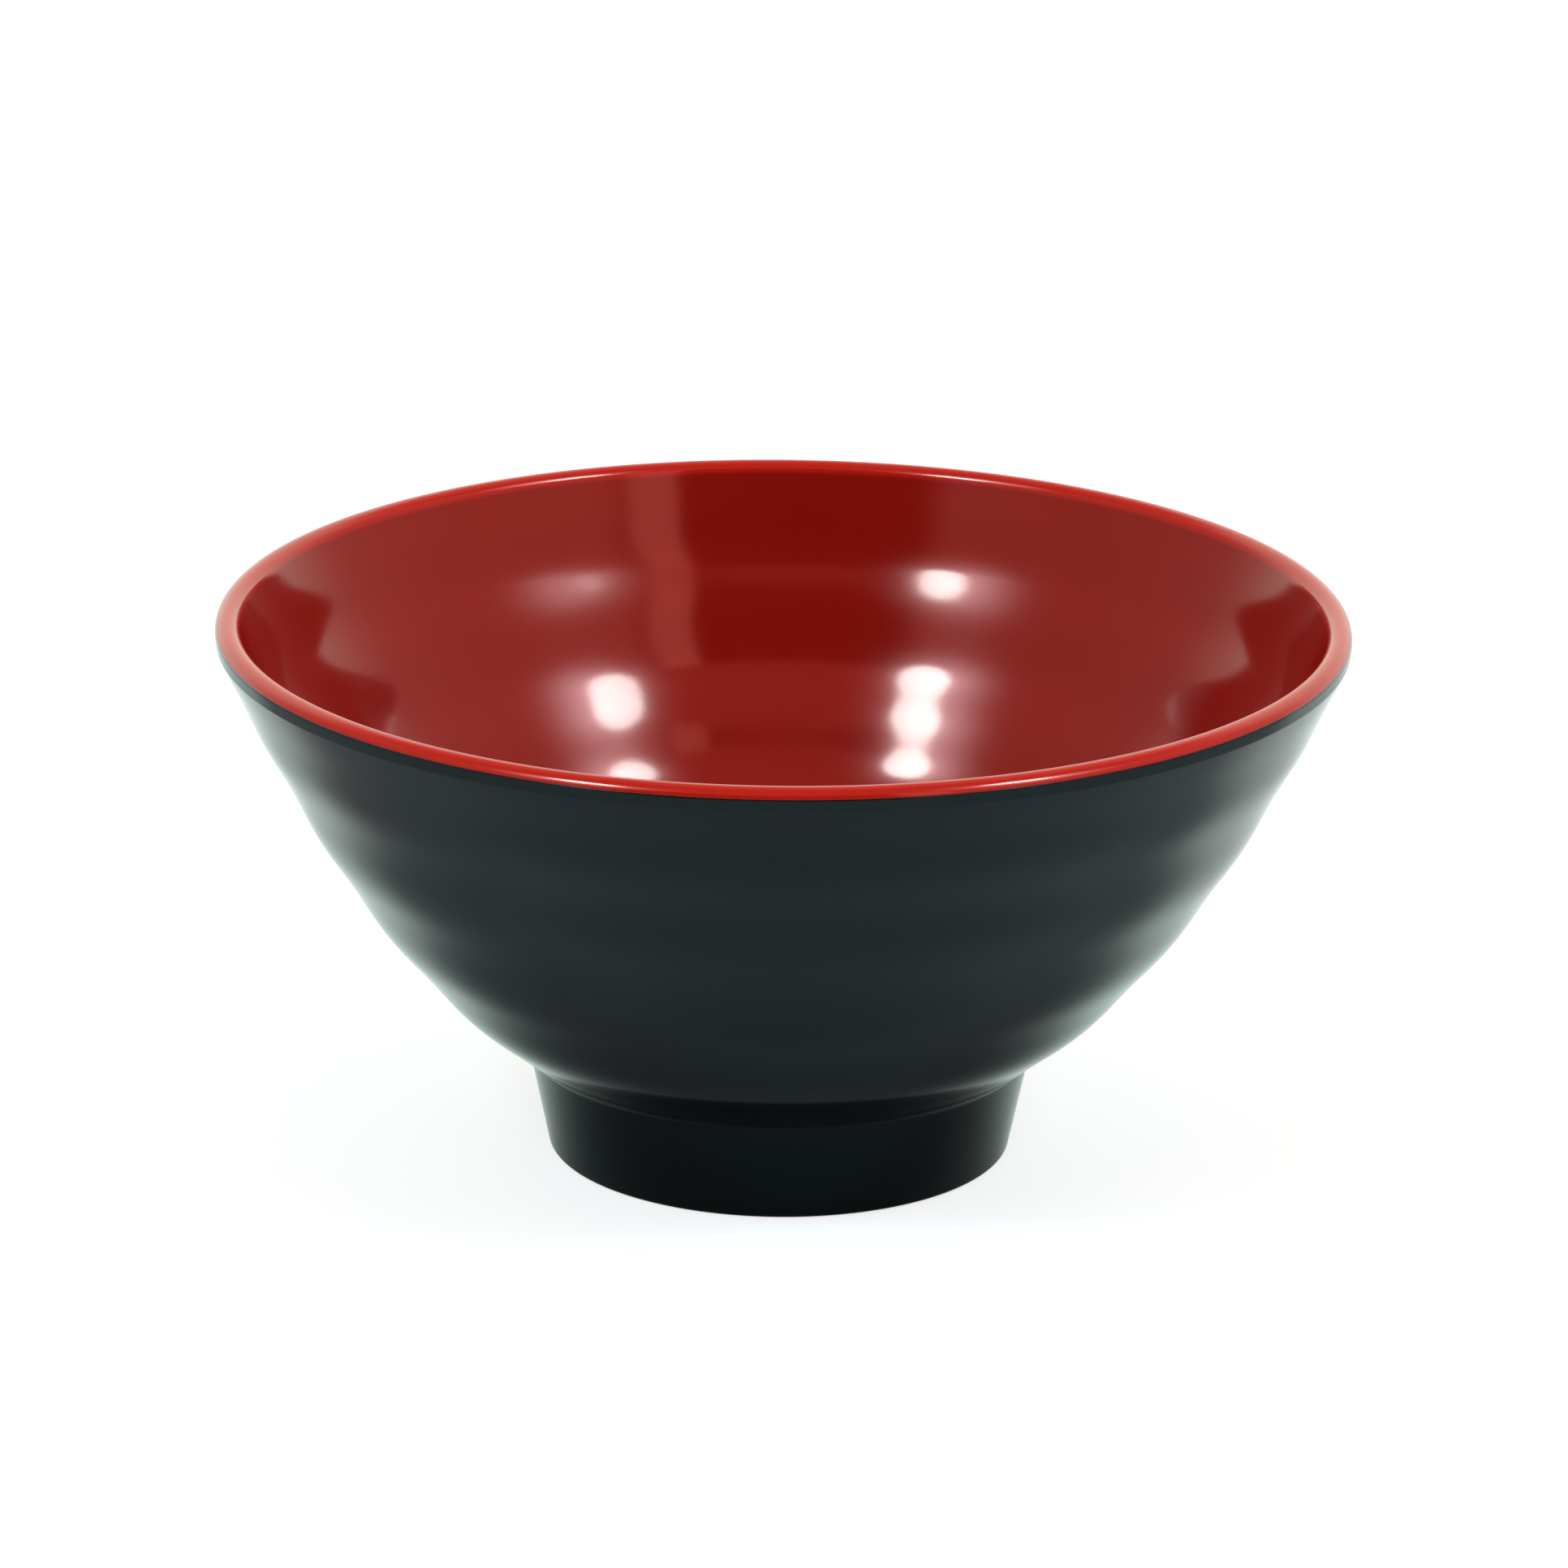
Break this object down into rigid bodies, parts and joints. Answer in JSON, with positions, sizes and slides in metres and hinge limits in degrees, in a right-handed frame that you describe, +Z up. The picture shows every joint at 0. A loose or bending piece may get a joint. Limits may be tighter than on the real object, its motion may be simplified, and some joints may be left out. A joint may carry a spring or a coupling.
{
  "type": "soup bowl",
  "caption": "Deep soup bowl with a flared, faintly ringed wall: a glossy black melamine shell on a tall drafted foot ring, and a bonded red liner whose rolled lip caps the shell's edge.",
  "frame": {"origin": "centre of the foot ring's underside, on the surface that the bowl stands on", "axes": "+Z up along the bowl's axis of revolution; X and Y are any two directions across it, because the bowl is round"},
  "size_m": [0.2, 0.2, 0.0982],
  "materials": {
    "black_melamine": "glossy black moulded melamine",
    "red_melamine": "glossy red moulded melamine with a clear glaze"
  },
  "bodies": {
    "root": {"outer_shell": "black_melamine", "inner_liner": "red_melamine"}
  },
  "joints": []
}
